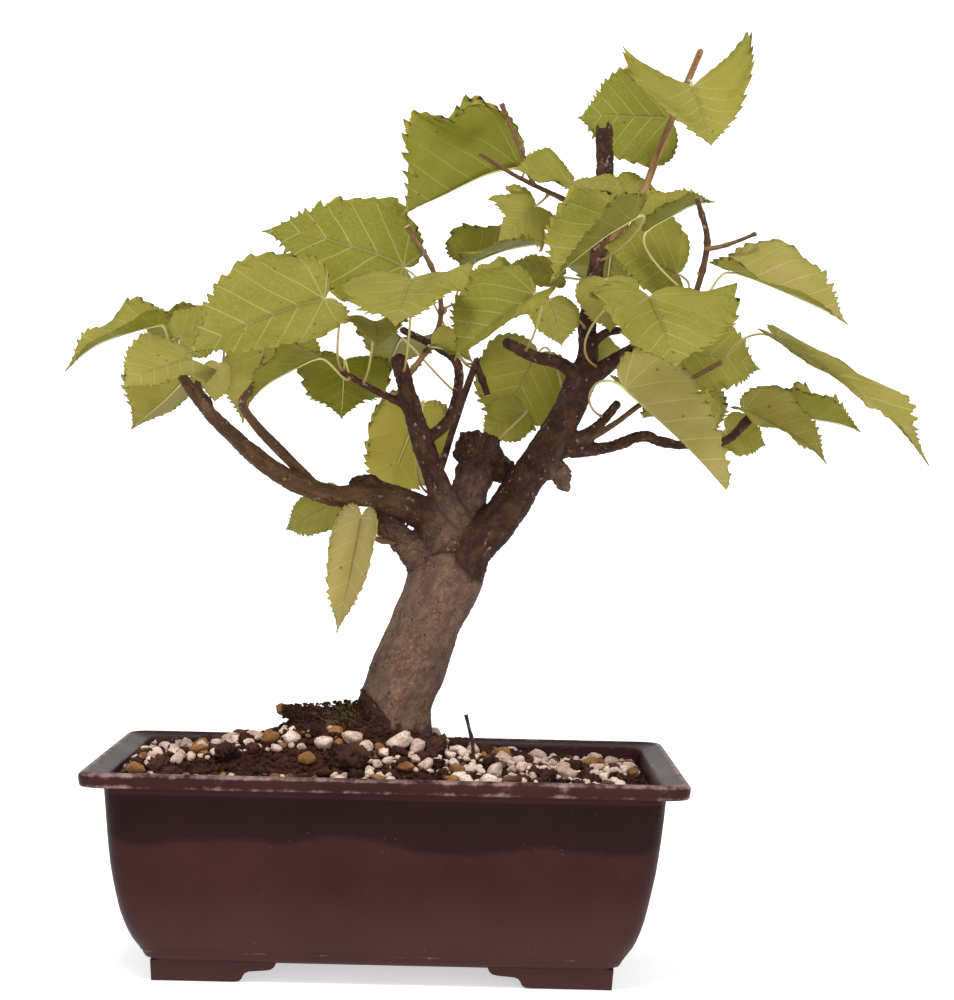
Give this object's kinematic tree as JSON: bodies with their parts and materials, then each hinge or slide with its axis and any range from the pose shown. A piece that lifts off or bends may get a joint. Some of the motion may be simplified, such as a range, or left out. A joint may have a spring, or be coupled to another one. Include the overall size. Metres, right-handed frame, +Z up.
{
  "type": "potted bonsai tree",
  "caption": "Young broad-leaved bonsai with a leaning trunk and an open crown of heart-shaped leaves, in a rectangular footed training pot filled with soil.",
  "frame": {"origin": "centre of the whole plant's box in X and Y, on the plane the pot's feet stand on; the middle of the pot is 54.5 mm to -X and 12.7 mm to +Y of it, because the crown leans past the pot's right end", "axes": "+Z up; +X along the pot's long side, towards the side the trunk leans to; -Y is the front"},
  "size_m": [0.4433, 0.2354, 0.4871],
  "materials": {
    "pot_plastic": "satin moulded plastic, dark brown",
    "screen_plastic": "matte",
    "soil": "rough, peat with pumice and fired clay grains",
    "bark": "thin bark with corky flecks",
    "dead_wood": "rough",
    "leaf": "satin upper side, paler matte underside"
  },
  "bodies": {
    "root": {"pot": "pot_plastic", "drain_screen_left": "screen_plastic", "drain_screen_right": "screen_plastic", "soil": "soil", "tree": "bark", "dead_twig": "dead_wood", "leaf_01": "leaf", "leaf_02": "leaf", "leaf_03": "leaf", "leaf_04": "leaf", "leaf_05": "leaf", "leaf_06": "leaf", "leaf_07": "leaf", "leaf_08": "leaf", "leaf_09": "leaf", "leaf_10": "leaf", "leaf_11": "leaf", "leaf_12": "leaf", "leaf_13": "leaf", "leaf_14": "leaf", "leaf_15": "leaf", "leaf_16": "leaf", "leaf_17": "leaf", "leaf_18": "leaf", "leaf_19": "leaf", "leaf_20": "leaf", "leaf_21": "leaf", "leaf_22": "leaf", "leaf_23": "leaf", "leaf_24": "leaf", "leaf_25": "leaf", "leaf_26": "leaf", "leaf_27": "leaf", "leaf_28": "leaf", "leaf_29": "leaf", "leaf_30": "leaf", "leaf_31": "leaf", "leaf_32": "leaf", "leaf_33": "leaf", "leaf_34": "leaf", "leaf_35": "leaf", "leaf_36": "leaf", "leaf_37": "leaf", "leaf_38": "leaf", "leaf_39": "leaf", "leaf_40": "leaf", "leaf_41": "leaf", "leaf_42": "leaf", "leaf_43": "leaf", "leaf_44": "leaf", "leaf_45": "leaf", "leaf_46": "leaf", "leaf_47": "leaf", "leaf_48": "leaf"}
  },
  "joints": []
}
